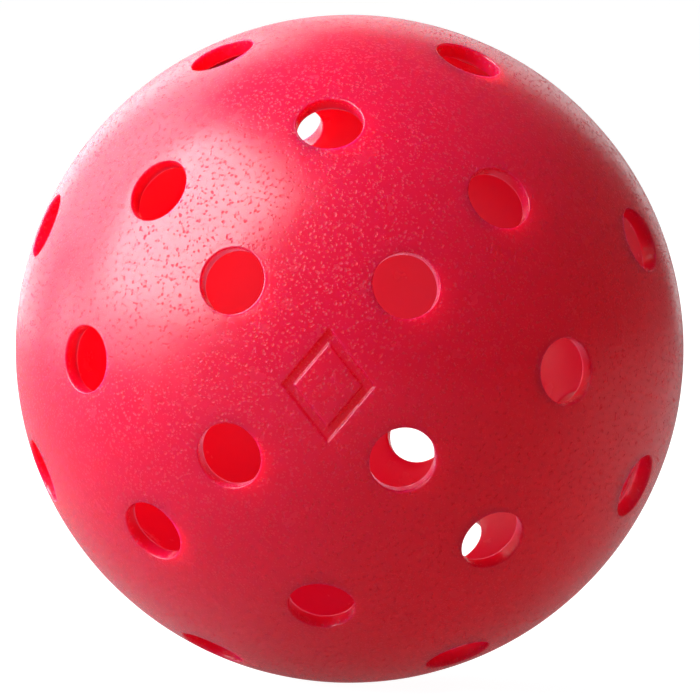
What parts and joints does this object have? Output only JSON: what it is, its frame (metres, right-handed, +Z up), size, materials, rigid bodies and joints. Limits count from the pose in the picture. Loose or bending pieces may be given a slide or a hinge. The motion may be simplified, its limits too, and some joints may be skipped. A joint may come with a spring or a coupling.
{
  "type": "pickleball ball",
  "caption": "Hollow perforated plastic ball for pickleball: two moulded half shells with drilled holes, joined by a welded bead round the middle.",
  "frame": {"origin": "centre of the ball", "axes": "Y is the axis of the hole pattern: the pole beside the engraved mark faces -Y, the other pole faces +Y; the weld seam lies in the XZ plane; +Z is up as the ball lies, +X to the right of someone facing the mark"},
  "size_m": [0.074, 0.074, 0.074],
  "materials": {
    "shell_plastic": "satin, finely pitted, slightly translucent",
    "weld_plastic": "smooth, re-melted"
  },
  "bodies": {
    "root": {"front_half_shell": "shell_plastic", "rear_half_shell": "shell_plastic", "weld_bead": "weld_plastic"}
  },
  "joints": []
}
